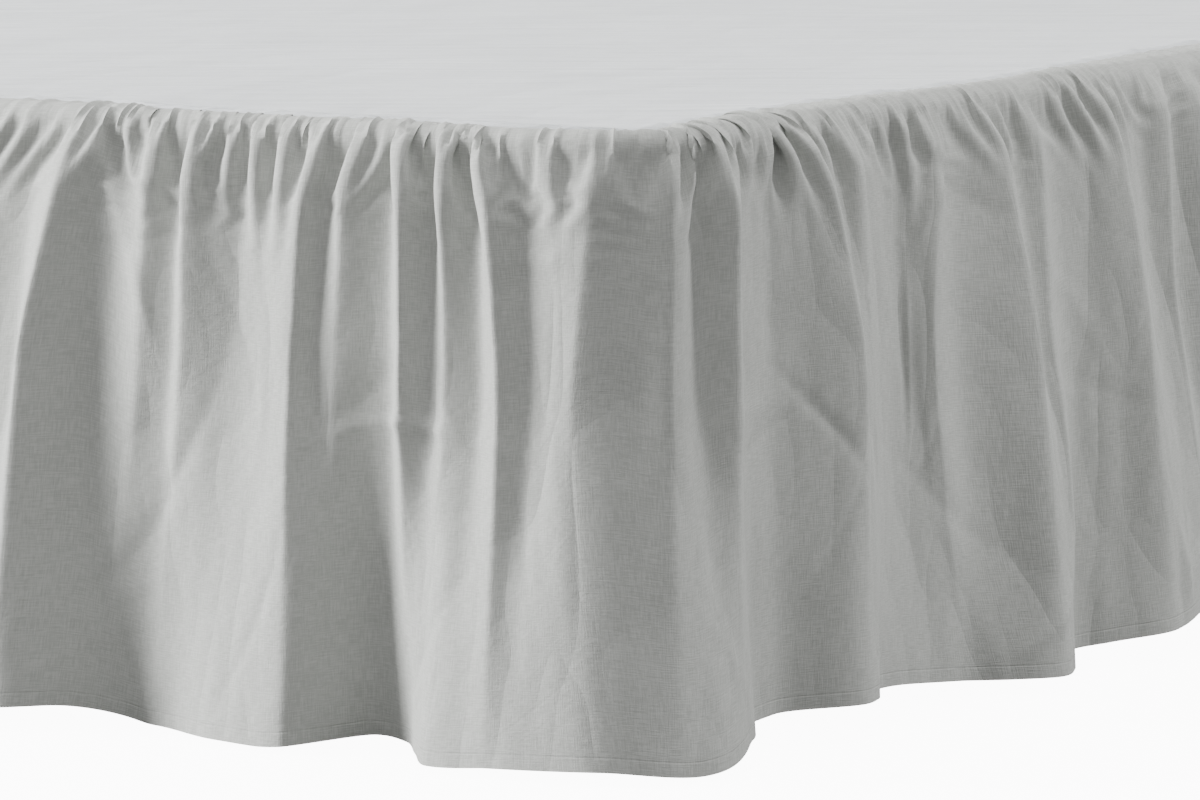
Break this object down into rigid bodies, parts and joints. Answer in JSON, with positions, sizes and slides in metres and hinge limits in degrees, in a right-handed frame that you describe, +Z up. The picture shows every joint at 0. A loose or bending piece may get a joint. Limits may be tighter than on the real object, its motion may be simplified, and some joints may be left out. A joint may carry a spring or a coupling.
{
  "type": "bed skirt on a bed base",
  "caption": "Gathered fabric bed skirt, a flat top panel with a ruffle round both long sides and the foot, hanging on a plain bed base with legs.",
  "frame": {"origin": "middle of the whole outline, on the floor under the bed", "axes": "+Z up, +Y along the bed towards the open head end, +X across the bed"},
  "size_m": [1.7903, 2.1137, 0.5402],
  "materials": {
    "skirt_cloth": "matt light grey plain weave with a slight slub",
    "panel_cloth": "matt pale bluish grey thin plain weave, lightly wrinkled",
    "base_cover": "plain off-white cover cloth",
    "leg_wood": "satin oiled wood"
  },
  "bodies": {
    "root": {"bed_base": "base_cover", "leg_foot_left": "leg_wood", "leg_foot_right": "leg_wood", "leg_middle_left": "leg_wood", "leg_middle_right": "leg_wood", "leg_head_left": "leg_wood", "leg_head_right": "leg_wood", "top_panel": "panel_cloth", "ruffle_left_head": "skirt_cloth", "ruffle_left_side": "skirt_cloth", "ruffle_left_corner": "skirt_cloth", "ruffle_foot": "skirt_cloth", "ruffle_right_corner": "skirt_cloth", "ruffle_right_side": "skirt_cloth", "ruffle_right_head": "skirt_cloth"}
  },
  "joints": []
}
